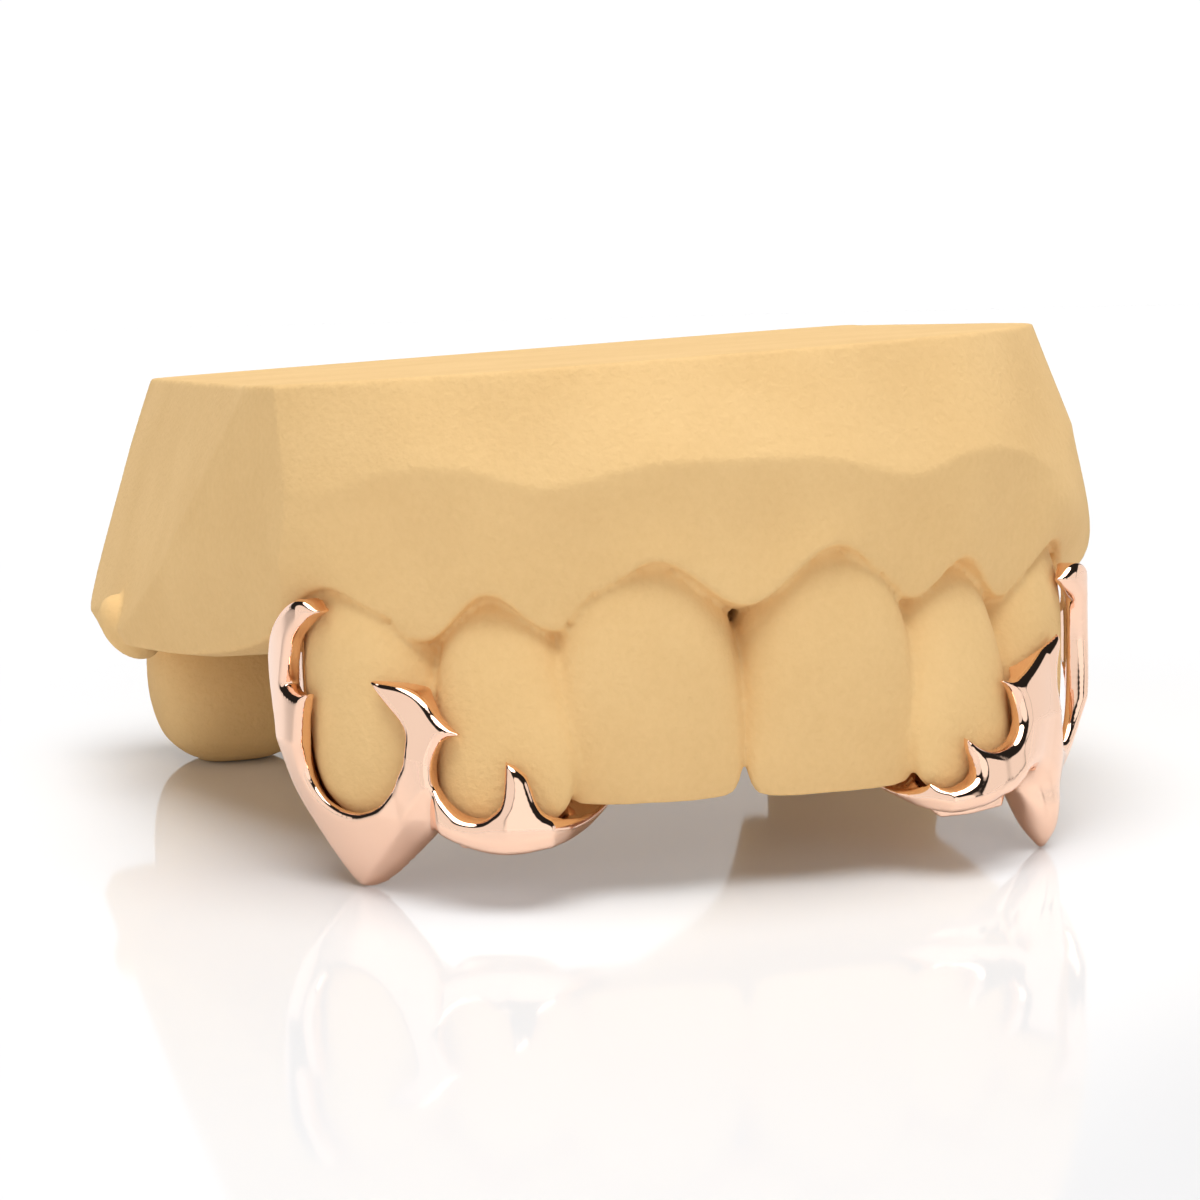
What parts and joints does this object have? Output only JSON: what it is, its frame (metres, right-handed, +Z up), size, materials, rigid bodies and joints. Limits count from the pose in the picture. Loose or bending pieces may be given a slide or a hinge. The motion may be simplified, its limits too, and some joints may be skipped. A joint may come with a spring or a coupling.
{
  "type": "pair of dental grill fang caps on a stone tooth cast",
  "caption": "Polished rose gold fang caps in a curved open tribal design, seated on an upper stone tooth cast that stands on the fang points and molars.",
  "frame": {"origin": "middle of the whole object's box, on the plane it stands on", "axes": "+Z up from the plane it stands on, +Y from the front teeth to the back of the arch, +X to the wearer's left"},
  "size_m": [0.0572, 0.052, 0.0262],
  "materials": {
    "cast_stone": "matte",
    "rose_gold_right": "polished",
    "rose_gold_left": "polished"
  },
  "bodies": {
    "root": {"tooth_cast": "cast_stone", "right_fang_cap": "rose_gold_right", "left_fang_cap": "rose_gold_left"}
  },
  "joints": []
}
